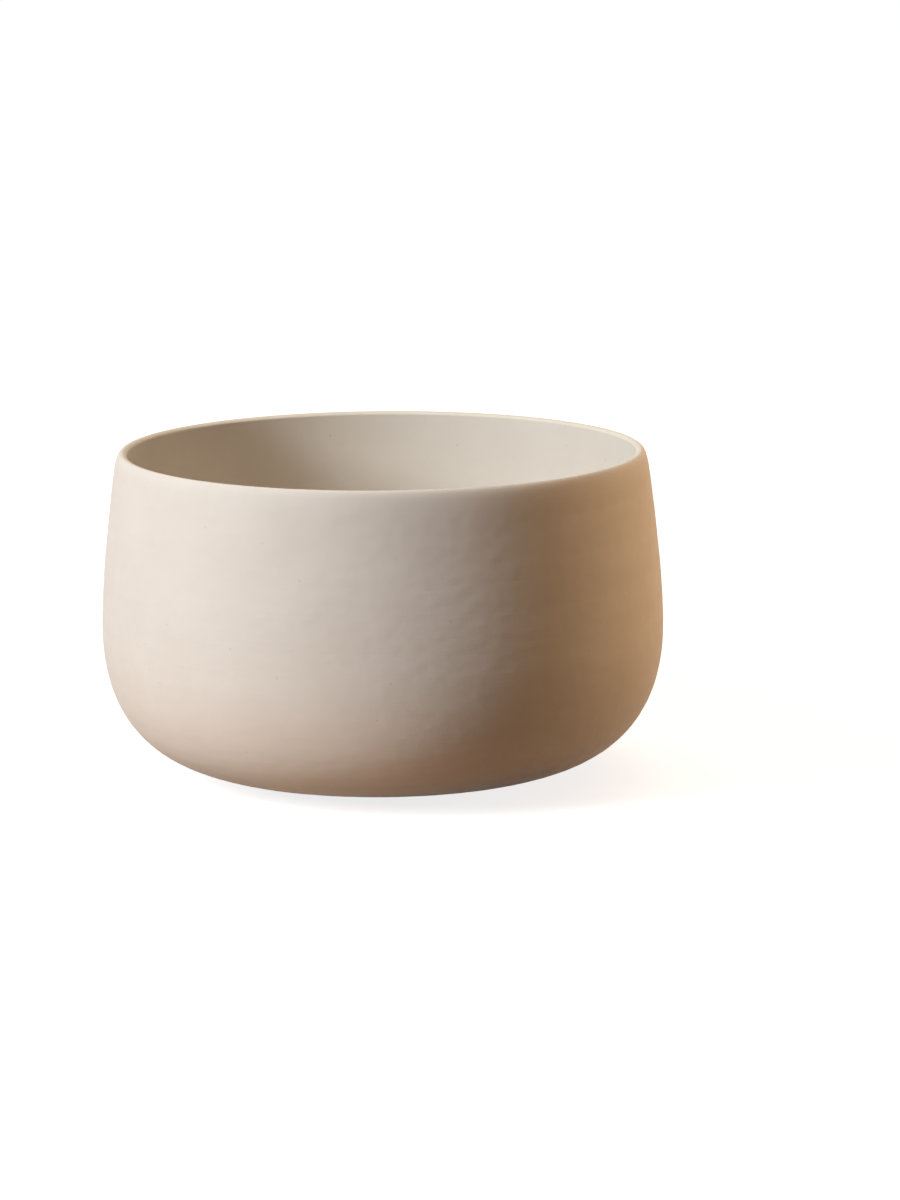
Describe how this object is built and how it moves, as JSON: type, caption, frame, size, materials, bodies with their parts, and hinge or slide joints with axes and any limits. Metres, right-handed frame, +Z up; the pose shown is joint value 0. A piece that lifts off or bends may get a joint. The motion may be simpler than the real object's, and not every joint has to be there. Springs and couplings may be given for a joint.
{
  "type": "serving bowl",
  "caption": "Round stoneware serving bowl with a soft rounded lower corner, a wall that leans in slightly to a rounded lip, a turned foot ring and a matte off-white glaze inside and out.",
  "frame": {"origin": "on the surface that the bowl stands on, at the middle of the foot ring", "axes": "+Z up along the axis that the bowl was turned on; it is round, so X and Y are free"},
  "size_m": [0.24, 0.24, 0.14],
  "materials": {
    "stoneware_clay": "bare fired stoneware, sanded smooth on the foot ring",
    "outside_glaze": "matte warm off-white glaze, faint turning lines",
    "inside_glaze": "matte to eggshell warm off-white glaze"
  },
  "bodies": {
    "root": {"clay_body": "stoneware_clay", "outside_glaze": "outside_glaze", "inside_glaze": "inside_glaze", "foot_well_glaze": "outside_glaze"}
  },
  "joints": []
}
